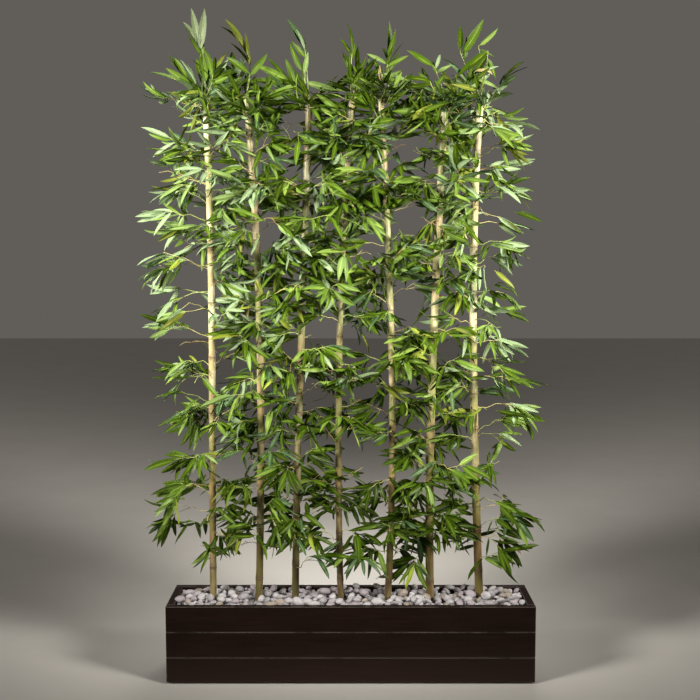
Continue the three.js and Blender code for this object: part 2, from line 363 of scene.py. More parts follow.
def lacquered_wood(name, stretch):
    """Near-black satin lacquer over wood, with its grain along the board."""
    material, tree, shader = start_material(name, {"Specular IOR Level": 0.14})
    place = tree.coordinates()
    grain = tree.effect(GRAIN, {"Vector": tree.mapped(place, stretch), "Scale": 11.0})
    worn = patches(tree, place, 7.0, 0.45, 0.75)
    height = tree.add("ShaderNodeSeparateXYZ", {"Vector": place}).outputs["Z"]
    dust = tree.between(height, 0.0, DUSTY_HEIGHT, 0.7, 0.0)
    lacquer = tree.mixed(grain["Streaks"], ESPRESSO, ESPRESSO_BROWN)
    tree.put(shader["Base Color"], tree.mixed(dust, lacquer, DUSTY_BROWN))
    tree.put(shader["Roughness"], tree.between(worn, 0.0, 1.0, 0.38, 0.52))
    tree.put(shader["Normal"], tree.bump(grain["Pores"], 0.12, 0.4 * MM))
    return material


def worn_and_lit_wood(name):
    """The rounded edges of the boards, pale in broken lengths: partly lacquer rubbed pale and partly a
    painted highlight where the edges catch the light.
    """
    material, tree, shader = start_material(name, {"Roughness": 0.55})
    worn_and_lit = tree.effect(WEAR_AND_HIGHLIGHT, {"Vector": tree.coordinates(), "Amount": 0.85})["Mask"]
    tree.put(shader["Base Color"], tree.mixed(worn_and_lit, ESPRESSO_BROWN, WORN_AND_LIT_GREY))
    return material


def block(low, high):
    """A bmesh of a plain block between two corners."""
    bm = bmesh.new()
    bmesh.ops.create_cube(bm, size=1)
    bmesh.ops.scale(bm, vec=high - low, verts=bm.verts[:])
    bmesh.ops.translate(bm, vec=(low + high) / 2, verts=bm.verts[:])
    return bm


def board_mesh(node):
    """A board in the place of its CAD node, with rounded edges that have a material of their own."""
    bm = block(*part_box(node))
    bmesh.ops.bevel(
        bm, geom=bm.edges[:], offset=EDGE_ROUNDING, offset_type="OFFSET", segments=2,
        profile=0.5, affect="EDGES", clamp_overlap=True, material=-1,
    )
    bm.normal_update()
    for face in bm.faces:
        face.material_index = 0 if max(abs(part) for part in face.normal) > SQUARE_ON else 1
    return mesh_from(bm, node, smooth=False)


def finish_node(name, material):
    """Gives a carried-over CAD node its finish."""
    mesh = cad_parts[name].data
    mesh.materials.clear()
    mesh.materials.append(material)


def build_planter():
    edge = worn_and_lit_wood("worn_and_lit_edges")
    along_x = lacquered_wood("lacquer_along", (ALONG, ACROSS, ACROSS))
    along_y = lacquered_wood("lacquer_across", (ACROSS, ALONG, ACROSS))
    for side, face in (("front", along_x), ("back", along_x), ("left", along_y), ("right", along_y)):
        for row in BOARD_ROWS:
            node = f"{side}_board_{row}"
            add_piece(f"slat_{side}_{row}", board_mesh(node), [face, edge], [node])
    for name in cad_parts:
        if name == "floor_board" or name.startswith("corner_post"):
            finish_node(name, along_x)


def finish_feet():
    greys = (0.36, 0.34, 0.32), (0.24, 0.23, 0.21)
    plastic = clouded("foot_plastic", 0.6, *greys, 60.0, (0.1, 0.3 * MM))
    for name in ("foot_left", "foot_middle", "foot_right"):
        finish_node(name, plastic)


def finish_fill():
    greys = (0.05, 0.045, 0.04), (0.12, 0.11, 0.1)
    finish_node("fill_block", clouded("dark_gravel", 0.95, *greys, 140.0, (0.6, 2 * MM)))


# Pebbles

STONE_SEED = 41
STONE_SHAPES = 8
STONE_LUMPS = 9
# Small stones reach up to the floor, and the visible ones are dropped until the bed is full on average.
STONE_FLOOR = 0.188
BED_FULL = 0.2095
STONES_MOST = 1500
STONE_CELL = 4 * MM
STONE_TRIES = 6
# Half lengths of the stones in mm.
STONE_HALVES = (8, 9, 10, 11, 12, 12, 13, 13, 14, 16, 18)
STONE_LEAN = 0.34
# The height at which stones meet the canes, and the room that a cane takes there.
CANE_MEETS, CANE_ROOM = 0.2, 0.011
WALL_SHARE = 0.35
END_ZONE = 40 * MM
# Tints of the stones: dark and light colour, and how common each is.
STONE_TINTS = {
    "white": ((0.35, 0.34, 0.36), (0.49, 0.475, 0.50), 0.38),
    "pale_grey": ((0.26, 0.248, 0.266), (0.37, 0.353, 0.377), 0.27),
    "mauve_grey": ((0.28, 0.245, 0.277), (0.39, 0.347, 0.386), 0.19),
    "beige": ((0.255, 0.216, 0.185), (0.36, 0.312, 0.268), 0.11),
    "slate": ((0.12, 0.113, 0.117), (0.22, 0.208, 0.212), 0.05),
}


def scattered(rng, size):
    """A vector of three random numbers round zero."""
    return Vector([rng.gauss(0, size) for _ in range(3)])


def stone_shapes(rng):
    """Rounded stones of half a unit, each lumpy in its own way."""
    shapes = []
    for _ in range(STONE_SHAPES):
        bm = bmesh.new()
        bmesh.ops.create_icosphere(bm, subdivisions=2, radius=1)
        lumps = []
        for _ in range(STONE_LUMPS):
            way = scattered(rng, 1).normalized()
            lumps.append((way, rng.uniform(-0.38, 0.2)))
        for vertex in bm.verts:
            out = vertex.co.normalized()
            rise = sum(size * max(0.0, out.dot(way)) ** 2 for way, size in lumps)
            vertex.co = out * (1 + rise)
        shapes.append(Shape(bm))
    return shapes


def beside_wall(x, y, low, high, margin):
    """The nearest place beside one of the long walls, or of the short ones near the ends."""
    if min(x - low.x, high.x - x) < END_ZONE:
        return (low.x + margin if x < 0 else high.x - margin), y
    return x, (low.y + margin if y < (low.y + high.y) / 2 else high.y - margin)


def in_cane(x, y, half, canes):
    """Whether a stone of a half length would lie in a cane."""
    room = CANE_ROOM + half * 0.8
    return any(math.dist((x, y), cane.at(CANE_MEETS)[:2]) < room for cane in canes)


def settle_stones(rng, canes):
    """Drops stones one by one, each into the lowest of a few random places, until the bed is full."""
    low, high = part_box("pebble_bed")
    columns = int((high.x - low.x) / STONE_CELL)
    rows = int((high.y - low.y) / STONE_CELL)
    xs = low.x + (np.arange(columns) + 0.5) * STONE_CELL
    ys = low.y + (np.arange(rows) + 0.5) * STONE_CELL
    ground = np.full((columns, rows), STONE_FLOOR - 2 * MM)
    stones = []
    while len(stones) < STONES_MOST and ground.mean() < BED_FULL:
        half = rng.choice(STONE_HALVES) * rng.uniform(0.92, 1.1) * MM
        across, thick = half * rng.uniform(0.6, 0.86), half * rng.uniform(0.4, 0.6)
        margin, under, covered = half * 0.6, half * 0.75, half * 0.9
        tries = []
        for _ in range(STONE_TRIES):
            x = rng.uniform(low.x + margin, high.x - margin)
            y = rng.uniform(low.y + margin, high.y - margin)
            if rng.random() < WALL_SHARE:
                x, y = beside_wall(x, y, low, high, half * 0.5)
            if not in_cane(x, y, half, canes):
                rest = ground[np.ix_(np.abs(xs - x) < under, np.abs(ys - y) < under)]
                level = rest.mean() * 0.55 + rest.max() * 0.45
                tries.append((level, x, y))
        if not tries:
            continue
        level, x, y = min(tries)
        middle = level + thick * 0.9
        stones.append((x, y, middle, half, across, thick))
        spread = ((xs[:, None] - x) ** 2 + (ys[None, :] - y) ** 2) / covered ** 2
        top = middle + thick * np.sqrt(np.clip(1 - spread, 0, 1))
        ground = np.where(spread < 1, np.maximum(ground, top), ground)
    return stones


def stone_finish(name, dark, light):
    """Matt stone, cloudy between two tints and finely speckled."""
    material, tree, shader = start_material(f"stone_{name}", {})
    place = tree.coordinates()
    cloud = patches(tree, place, 45.0, 0.3, 0.7)
    speck = tree.noise(place, 420.0, detail=2.0)
    tree.put(shader["Base Color"], tree.mixed(cloud, dark, light))
    tree.put(shader["Roughness"], tree.between(cloud, 0.0, 1.0, 0.75, 0.6))
    tree.put(shader["Normal"], tree.bump(speck, 0.18, 0.5 * MM))
    return material


def underlayer_mesh(rng):
    """The hidden layer of small stones that the visible ones lie on, rough on top."""
    low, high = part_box("pebble_bed")
    size = high - low
    bm = block(low, Vector((high.x, high.y, STONE_FLOOR)))
    for axis, cuts in ((0, 95), (1, 15)):
        lengths = {edge: abs(edge.verts[0].co[axis] - edge.verts[1].co[axis]) for edge in bm.edges}
        along_axis = [edge for edge, length in lengths.items() if length > size[axis] / 2]
        bmesh.ops.subdivide_edges(bm, edges=along_axis, cuts=cuts, use_grid_fill=True)
    for vertex in bm.verts:
        if vertex.co.z > STONE_FLOOR - MM:
            vertex.co.z += rng.uniform(-2.5, 2.5) * MM
    return mesh_from(bm, "pebbles_under")


def build_pebbles(canes):
    rng = random.Random(STONE_SEED)
    under = stone_finish("under", (0.24, 0.23, 0.23), (0.42, 0.40, 0.41))
    add_piece("pebbles_under", underlayer_mesh(rng), [under], ["pebble_bed"])
    shapes = stone_shapes(rng)
    placed = {name: [] for name in STONE_TINTS}
    shares = [share for _, _, share in STONE_TINTS.values()]
    for x, y, z, half, across, thick in settle_stones(rng, canes):
        tint = rng.choices(list(STONE_TINTS), shares)[0]
        turn = Matrix.Rotation(rng.uniform(0, math.tau), 3, "Z")
        leans = [Matrix.Rotation(rng.gauss(0, STONE_LEAN), 3, axis) for axis in "XY"]
        shape = rng.choice(shapes)
        turn = turn @ (leans[0] @ leans[1]) @ Matrix.Diagonal((half, across, thick))
        placed[tint].append((shape, turn, (x, y, z)))
    for name, (dark, light, _) in STONE_TINTS.items():
        mesh = joined_mesh(f"pebbles_{name}", placed[name])
        add_piece(f"pebbles_{name}", mesh, [stone_finish(name, dark, light)], ["pebble_bed"])


# Canes

CANE_SEED = 7
CANE_SIDES = 22
RING_STEP = 26 * MM
# The swelling at a joint: heights from the joint, and how far the skin stands out there, both in mm.
JOINT_PROFILE = [
    (-13, 0.0), (-6, 0.25), (-3.0, 0.75), (-1.6, 1.05), (-0.6, 0.8), (0.3, -0.25),
    (1.4, 0.15), (3.6, 0.75), (6.5, 0.5), (10, 0.15), (15, 0.0),
]
JOINT_REACH = 17 * MM
# Heights of the joints of each cane.
CANE_JOINTS = [
    [0.29, 0.43, 0.62, 0.725, 0.88, 1.03, 1.18, 1.333, 1.46],
    [0.27, 0.41, 0.53, 0.648, 0.78, 0.92, 1.061, 1.20, 1.36, 1.49],
    [0.31, 0.46, 0.60, 0.73, 0.87, 1.02, 1.17, 1.32, 1.45],
    [0.26, 0.39, 0.52, 0.66, 0.80, 0.938, 1.08, 1.22, 1.37, 1.48],
    [0.28, 0.41, 0.545, 0.67, 0.792, 0.90, 1.01, 1.15, 1.30, 1.45],
    [0.25, 0.39, 0.54, 0.69, 0.83, 0.96, 1.08, 1.193, 1.33, 1.47],
    [0.276, 0.391, 0.459, 0.571, 0.678, 0.776, 0.92, 1.06, 1.18, 1.294, 1.43],
]
CUT_ZONE = 2 * MM
# The flat groove above a joint is deepest a little way up, and each cane is slightly oval.
GROOVE_LENGTH, GROOVE_DEPTH = 0.12, 0.11
GROOVE_NARROWNESS, GROOVE_START = 6, 8
OVALNESS = 0.02
STAIN_REACH = 22 * MM
# Dried cane, brown at its foot and pale straw higher up: its colour at some heights. The darker foot is
# partly the cane's own brown and partly painted shade low down.
SKIN_COLOURS = {
    0.3: (0.16, 0.11, 0.05),
    0.6: (0.26, 0.20, 0.10),
    1.0: (0.40, 0.33, 0.20),
    1.4: (0.42, 0.35, 0.22),
}
CANE_SPAN = 1.6
# How pale each cane is against the others, and how patchy. The paleness is partly each cane's own tone and
# partly painted light: the outer canes paler where the side lights fall, the middle ones darker in painted
# shade.
CANE_LOOKS = [(1.2, 0.3), (0.9, 0.6), (0.6, 0.8), (0.7, 0.7), (0.9, 0.8), (1.0, 0.55), (1.1, 0.5)]
JOINT_BROWN = (0.085, 0.055, 0.030)
PATCH_GREEN = (0.085, 0.090, 0.030)
# Tints that the skin varies between: warm and greenish lengths, pale patches that are partly the cane's own
# and partly painted highlight, and a darker copy that paints shade along the fine streaks.
WARM = (1.08, 1.00, 0.86)
GREENISH = (0.80, 1.02, 0.66)
LIT_PALE = (1.70, 1.92, 2.20)
SHADED = (0.45, 0.50, 0.36)
PALEST = 0.70


class Cane:
    """The path and thickness of a cane, taken from its CAD node."""

    def __init__(self, name):
        points = np.array([vertex.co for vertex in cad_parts[name].data.vertices])
        levels = np.round(points[:, 2], 3)
        self.heights, middles, radii = [], [], []
        for level in np.unique(levels):
            ring = points[levels == level]
            low, high = ring.min(0), ring.max(0)
            if high[0] - low[0] < MM:
                continue
            self.heights.append(level)
            middles.append((low + high)[:2] / 2)
            radii.append((high[0] - low[0]) / 2)
        self.middles, self.radii = np.array(middles), np.array(radii)
        self.foot, self.top = self.heights[0], self.heights[-1]

    def at(self, z):
        x = np.interp(z, self.heights, self.middles[:, 0])
        y = np.interp(z, self.heights, self.middles[:, 1])
        return Vector((x, y, z))

    def radius(self, z):
        return float(np.interp(z, self.heights, self.radii))


def cane_profile(cane, joints):
    """Heights and radii from the foot to the cut top, with a scar, a groove and a ridge at each joint."""
    rings = {}
    for z in np.arange(cane.foot, cane.top - CUT_ZONE, RING_STEP):
        if min(abs(z - joint) for joint in joints) > JOINT_REACH:
            rings[z] = cane.radius(z)
    for joint in joints:
        for height, rise in JOINT_PROFILE:
            rings[joint + height * MM] = cane.radius(joint) + rise * MM
    rim, top, hollow = cane.radius(cane.top), cane.top, cane.top - 5 * MM
    cut = [(top - 1.5 * MM, rim), (top, rim - 1.2 * MM), (top, rim * 0.62), (hollow, rim * 0.58), (hollow, 0)]
    return [(cane.foot, 0), *sorted(rings.items()), *cut]


def left_by_groove(z, way, joints, groove_ways):
    """The share of the thickness that the flat groove above a joint leaves at a height and a bearing."""
    below = [k for k, joint in enumerate(joints) if joint <= z]
    if not below:
        return 1.0
    k = below[-1]
    share = (z - joints[k]) / GROOVE_LENGTH
    facing = max(0.0, math.cos(way - groove_ways[k])) ** GROOVE_NARROWNESS
    return 1 - GROOVE_DEPTH * facing * max(0.0, 1 - share) * min(1.0, share * GROOVE_START)


def cane_mesh(number, cane, joints, rng):
    """A cane turned from its profile, then grooved and laid along its path."""
    bm = bmesh.new()
    profile = [bm.verts.new((radius, 0, z)) for z, radius in cane_profile(cane, joints)]
    edges = [bm.edges.new(pair) for pair in zip(profile, profile[1:])]
    bmesh.ops.spin(
        bm, geom=profile + edges, cent=(0, 0, 0), axis=UP, angle=math.tau, steps=CANE_SIDES, use_merge=True,
    )
    bmesh.ops.remove_doubles(bm, verts=bm.verts[:], dist=SAME_PLACE)
    groove_ways = [rng.uniform(0, math.tau) for _ in joints]
    nearness = bm.verts.layers.float.new("joint")
    for vertex in bm.verts:
        z = vertex.co.z
        way = math.atan2(vertex.co.y, vertex.co.x)
        to_joint = min(abs(z - joint) for joint in joints)
        vertex[nearness] = 1.0 if z > cane.top - CUT_ZONE else max(0.0, 1 - to_joint / STAIN_REACH)
        left = left_by_groove(z, way, joints, groove_ways)
        vertex.co.x *= left
        vertex.co.y *= left
        oval = 1 + OVALNESS * math.cos(2 * way + number)
        middle = cane.at(z)
        vertex.co.x = vertex.co.x * oval + middle.x
        vertex.co.y = vertex.co.y * oval + middle.y
    bmesh.ops.recalc_face_normals(bm, faces=bm.faces[:])
    return mesh_from(bm, f"cane_stem_{number + 1}")


def tinted(colour, tint):
    """A colour multiplied by a tint, no brighter than pale cane."""
    parts = [part * share for part, share in zip(colour, tint)]
    return tuple(part * min(1.0, PALEST / max(parts)) for part in parts)


def brown_marks(tree, place):
    """Where a cane is brown: scars at its joints and its cut, stains near them, and flecks anywhere."""
    near = tree.add("ShaderNodeAttribute", attribute_name="joint").outputs["Fac"]
    spots = patches(tree, place, 120.0, 0.42, 0.58)
    stain = tree.maths("MULTIPLY", tree.between(near, 0.2, 0.9, 0.0, 0.8), spots)
    flecks = patches(tree, tree.mapped(place, (1, 1, 0.5)), 150.0, 0.66, 0.70)
    marks = tree.maths("MAXIMUM", stain, tree.maths("MULTIPLY", flecks, 0.7))
    scar = tree.between(near, 0.86, 0.98)
    return tree.maths("MAXIMUM", marks, tree.maths("MULTIPLY", scar, 0.85))


def cane_skin(number, paleness_and_light, patchiness):
    """Dried cane: its colour changes with height and from length to length, with green and brown marks, pale
    patches that are partly painted highlight, and painted shade along its fine streaks.
    """
    material, tree, shader = start_material(f"cane_skin_{number + 1}", {"Specular IOR Level": 0.28})
    place = tree.mapped(tree.coordinates(), location=(0, 0, 0.37 * number))
    height = tree.add("ShaderNodeSeparateXYZ", {"Vector": tree.coordinates()}).outputs["Z"]
    share = tree.between(height, 0.0, CANE_SPAN)

    def body(tint):
        paled = [part * paleness_and_light for part in tint]
        stops = [(z / CANE_SPAN, tinted(colour, paled)) for z, colour in SKIN_COLOURS.items()]
        return tree.ramp(share, stops)

    lengths = tree.noise(tree.mapped(place, (0.3, 0.3, 1)), 7.5, detail=1.0)
    colour = tree.mixed(tree.between(lengths, 0.42, 0.58), body(WARM), body(GREENISH))
    # Pale patches: partly the cane's own, partly a painted highlight.
    lit_pale = patches(tree, tree.mapped(place, (1, 1, 0.2)), 42.0, 0.52, 0.59)
    colour = tree.mixed(tree.maths("MULTIPLY", lit_pale, 0.75), colour, body(LIT_PALE))
    green = patches(tree, tree.mapped(place, (1, 1, 0.4)), 30.0, 0.54, 0.64)
    lower = tree.between(height, 0.3, 1.4, 1.0, 0.65)
    patched = tree.maths("MULTIPLY", tree.maths("MULTIPLY", green, patchiness), lower)
    colour = tree.mixed(patched, colour, PATCH_GREEN)
    streaks = tree.effect(GRAIN, {"Vector": tree.mapped(place, (1, 1, 0.12)), "Scale": 110.0})["Streaks"]
    # A darker copy of the skin along the fine streaks: painted shade.
    colour = tree.mixed(tree.maths("MULTIPLY", streaks, 0.35), colour, body(SHADED))
    brown = brown_marks(tree, place)
    tree.put(shader["Base Color"], tree.mixed(brown, colour, JOINT_BROWN))
    tree.put(shader["Roughness"], tree.between(brown, 0.0, 1.0, 0.36, 0.7))
    tree.put(shader["Normal"], tree.bump(streaks, 0.15, 0.5 * MM))
    return material


def build_canes(canes):
    rng = random.Random(CANE_SEED)
    for number, cane in enumerate(canes):
        mesh = cane_mesh(number, cane, CANE_JOINTS[number], rng)
        skin = cane_skin(number, *CANE_LOOKS[number])
        add_piece(f"cane_stem_{number + 1}", mesh, [skin], [CANE_NAMES[number]])


# Leaves

LEAF_LENGTH = 82 * MM
LEAF_HALF_WIDTH = 6.5 * MM
RIB_SHARE = 0.06
BAND_SHARE = 0.52
# Rows of a leaf from its stalk to its tip: share of the length, and half width as a share of the widest.
LEAF_ROWS = [
    (-0.06, 0.08), (0.0, 0.10), (0.06, 0.45), (0.17, 0.84), (0.36, 1.0),
    (0.60, 0.92), (0.79, 0.64), (0.92, 0.29), (1.0, 0.0),
]
LEAF_COLUMNS = (-1, -BAND_SHARE, -RIB_SHARE, RIB_SHARE, BAND_SHARE, 1)
# Parts of a leaf in the order of its materials, and the parts that lie between its columns.
BLADE, RIB, BAND = range(3)
PARTS_ACROSS = (BLADE, BAND, RIB, BAND, BLADE)
DROOP_POWER = 1.2
CURL_FROM = 0.6
RIPPLES_ALONG, RIPPLES_ACROSS = 9, 1.5


def leaf_spine(droop, curl):
    """Place and slope of each row of a leaf along its rib."""
    spine, place, last = [], Vector((0, 0, 0)), LEAF_ROWS[0][0]
    for share, _ in LEAF_ROWS:
        angle = droop * max(0.0, share) ** DROOP_POWER + curl * max(0.0, share - CURL_FROM)
        place = place + Vector((0, math.cos(angle), -math.sin(angle))) * (share - last)
        spine.append((place, angle))
        last = share
    return spine


def leaf_shape(droop, twist, fold, ripple, curl=0.0):
    """A pointed leaf of unit length along +Y, folded at its rib, that droops and twists towards its tip."""
    bm = bmesh.new()
    columns, rows = len(LEAF_COLUMNS) - 1, len(LEAF_ROWS) - 1
    bmesh.ops.create_grid(bm, x_segments=columns, y_segments=rows, size=0.5)
    flat_map = bm.loops.layers.uv.new(FLAT_MAP)
    spots = {}
    for vertex in bm.verts:
        spots[vertex] = (round((vertex.co.x + 0.5) * columns), round((vertex.co.y + 0.5) * rows))
    for face in bm.faces:
        column, row = min(spots[vertex] for vertex in face.verts)
        face.material_index = RIB if row == 0 else PARTS_ACROSS[column]
        for loop in face.loops:
            column, row = spots[loop.vert]
            along = max(0.0, LEAF_ROWS[row][0]) * 0.98 + 0.01
            loop[flat_map].uv = (0.5 + 0.49 * LEAF_COLUMNS[column], along)
    spine = leaf_spine(droop, curl)
    widest = LEAF_HALF_WIDTH / LEAF_LENGTH
    for vertex, (column, row) in spots.items():
        share, width = LEAF_ROWS[row]
        across = LEAF_COLUMNS[column] * width * widest
        wave = ripple * math.sin(RIPPLES_ALONG * share + RIPPLES_ACROSS * column)
        rise = abs(across) * math.tan(fold) + wave * width * widest
        point, angle = spine[row]
        turn = Matrix.Rotation(-angle, 3, "X") @ Matrix.Rotation(twist * max(0.0, share), 3, "Y")
        vertex.co = point + turn @ Vector((across, 0, rise))
    bmesh.ops.remove_doubles(bm, verts=bm.verts[:], dist=SAME_PLACE)
    return Shape(bm)


# Leaves by their droop, twist, fold and ripple.
LEAF_BENDS = [
    (0.15, 0.15, 0.42, 0.10), (0.35, -0.30, 0.36, 0.14), (0.55, 0.45, 0.30, 0.12), (0.80, -0.20, 0.40, 0.10),
    (-0.20, 0.35, 0.45, 0.16), (0.45, -0.70, 0.28, 0.18), (0.05, 0.80, 0.35, 0.14),
]
LEAF_SHAPES = [leaf_shape(*bend) for bend in LEAF_BENDS]
CURLED_LEAF = leaf_shape(0.3, 0.9, 0.7, 0.25, curl=2.6)

# Leaf finishes, from the darkest to the palest: blade colour, rib colour, roughness, and how common each is.
# The palest, sheen, is partly the silk's own pale tone and partly a painted sheen of light.
LEAF_TINTS = {
    "night": ((0.017, 0.036, 0.001), (0.09, 0.13, 0.010), 0.40, 9),
    "deep": ((0.033, 0.068, 0.002), (0.15, 0.21, 0.02), 0.40, 17),
    "blue": ((0.044, 0.090, 0.030), (0.22, 0.30, 0.14), 0.36, 9),
    "forest": ((0.050, 0.103, 0.004), (0.21, 0.28, 0.04), 0.43, 20),
    "mid": ((0.082, 0.152, 0.016), (0.27, 0.34, 0.08), 0.44, 19),
    "olive": ((0.108, 0.138, 0.014), (0.30, 0.30, 0.06), 0.46, 6),
    "fresh": ((0.132, 0.214, 0.056), (0.35, 0.42, 0.15), 0.46, 12),
    "sheen": ((0.180, 0.260, 0.130), (0.37, 0.45, 0.26), 0.42, 14),
}
BRIGHT_TINTS = {
    "lime": ((0.152, 0.248, 0.040), (0.36, 0.44, 0.10), 0.46, 8),
    "yellow": ((0.220, 0.285, 0.032), (0.44, 0.48, 0.11), 0.48, 2),
}
# Greyer silk for the leaves that stand highest, and dry-looking silk for the few curled ones.
SPECIAL_TINTS = {
    "frost": ((0.125, 0.165, 0.085), (0.30, 0.36, 0.18), 0.5),
    "cream": ((0.36, 0.31, 0.14), (0.42, 0.36, 0.18), 0.7),
}
BAND_LIGHTENING = 0.10
# Painted light and shade in the choice of finish: how far it leans to the pale ones by height, darker low
# down and at the very top, and by distance from the middle of the screen, paler to the sides where the lights
# fall and darker in the middle, which counts less low down.
PAINTED_LIGHT_BY_HEIGHT = ((0.25, 0.50, 0.75, 1.00, 1.40, 1.60, 1.80), (-1.2, -2.3, -1.3, 0.35, 0.50, -0.6, -1.0))
PAINTED_LIGHT_TO_SIDES = ((0.14, 0.24, 0.34, 0.48), (-1.1, -0.3, 0.9, 1.3))
SIDE_LIGHT_STRENGTH = ((0.40, 0.65), (0.15, 1.0))
MIDDLE_TINT = (len(LEAF_TINTS) - 1) / 2


def leaf_finish(name, blade, gloss):
    """Printed silk in one plain colour, with fine side veins and a soft shine."""
    values = {"Base Color": blade, "Specular IOR Level": 0.14, "Roughness": gloss}
    material, tree, shader = start_material(name, values)
    flat = tree.add("ShaderNodeUVMap", uv_map=FLAT_MAP).outputs["UV"]
    veins = tree.add(
        "ShaderNodeTexWave", {"Vector": flat, "Scale": 4.0, "Distortion": 0.4},
        wave_type="BANDS", bands_direction="X",
    ).outputs["Fac"]
    tree.put(shader["Normal"], tree.bump(veins, 0.12, 0.5 * MM))
    return material


# Twigs and sprays

# Tints of the twigs: dark and light colour, and how common each is.
TWIG_TINTS = {
    "green": ((0.25, 0.31, 0.07), (0.40, 0.47, 0.14), 6),
    "straw": ((0.36, 0.32, 0.11), (0.52, 0.46, 0.19), 4),
    "tan": ((0.19, 0.13, 0.045), (0.32, 0.23, 0.09), 1.5),
}
# Gaps in the foliage as seen from the front, in mm: middle across, middle up, half width and half height.
GAPS = [
    (-55, 1653, 32, 37), (-163, 1495, 27, 29), (159, 1442, 32, 35), (374, 1442, 32, 35),
    (160, 1255, 32, 54), (377, 1249, 32, 54), (-218, 1228, 27, 30), (52, 1174, 27, 30),
    (-437, 1066, 33, 93), (161, 1033, 33, 57), (-56, 946, 76, 30), (271, 902, 33, 36), (-472, 902, 52, 36),
    (-440, 792, 30, 33), (-112, 786, 33, 41), (383, 709, 33, 67), (-333, 570, 33, 36), (51, 570, 41, 34),
    (-445, 457, 30, 34), (385, 457, 30, 34), (-57, 401, 30, 34), (-446, 345, 36, 37), (-280, 345, 33, 34),
    (-294, 282, 117, 31), (-124, 282, 47, 31), (276, 282, 42, 34), (388, 271, 42, 31), (439, 570, 39, 36),
    (430, 1285, 28, 34), (432, 956, 26, 30), (495, 468, 20, 24), (-490, 1530, 22, 40), (425, 1563, 24, 22),
    (-520, 1375, 35, 22), (385, 1120, 22, 24), (-165, 903, 22, 22), (55, 790, 22, 22),
    (-490, 1170, 20, 20),
]
CLEARINGS = [[size / 1000 for size in gap] for gap in GAPS]
# Where a leaf needs room, as shares of its length, and how much its line sags there.
LEAF_CHECKS = (0.25, 0.5, 0.75, 1.0)
LEAF_SAG = 0.16
LOWEST_LEAF = 0.225
CANE_GAP = 1.5 * MM
CURLED_SHARE, CURLED_LENGTH = 0.004, 0.65
# Most leaves of a fan have one of its two finishes, and a few fans have a bright leaf, fewer of them low
# down as painted shade.
FAMILY_SHARE = 0.85
BRIGHT_FROM = 0.75
BRIGHT_HIGH, BRIGHT_LOW = (1, 0, 0, 1, 0, 0), (0, 0, 0, 1)
# The share of fans that face up, and of the others the share that face to the front or back.
FACING_UP, FACING_LEVEL = 0.45, 0.6
LEAST_FACING = 0.1
STEM_LEAVES, TWIG_LEAVES, LEAST_LEAVES = (5, 7), (4, 6), 2
FAN_SAG = (0.1, 0.65)
STEM_THICK, TWIG_THICK, TOP_THICK = 1.05 * MM, 0.75 * MM, 1.2 * MM
STEM_KINKS = 5
SIDE_TWIGS_AT = (0.35, 0.62, 0.85)
TOP_LEAF_GAP = 9 * MM
# From this height leaves sag less and less, down to a quarter.
STIFF_FROM, STIFF_OVER, STIFFNESS = 1.25, 0.35, 0.75


class Growth:
    """What grows on the whole screen: leaves by finish, twigs by tint, and the sockets of the stems."""

    def __init__(self):
        self.leaves = {}
        self.twigs = {tint: [] for tint in TWIG_TINTS}
        self.sockets = []


def seen_from_front(point):
    """Where a point appears on the plane of the canes, seen from the camera."""
    share = -EYE.y / (point.y - EYE.y)
    return EYE.x + (point.x - EYE.x) * share, EYE.z + (point.z - EYE.z) * share


def back_along(points, distance):
    """The place on a twig at a distance back from its tip."""
    for end, start in zip(points[::-1], points[-2::-1]):
        length = (end - start).length
        if distance <= length:
            return end.lerp(start, distance / length)
        distance -= length
    return points[0].copy()


def in_clearing(point):
    """Whether a point lies in a gap of the foliage, as seen from the front."""
    x, z = seen_from_front(point)
    return any(((x - cx) / rx) ** 2 + ((z - cz) / rz) ** 2 < 1 for cx, cz, rx, rz in CLEARINGS)


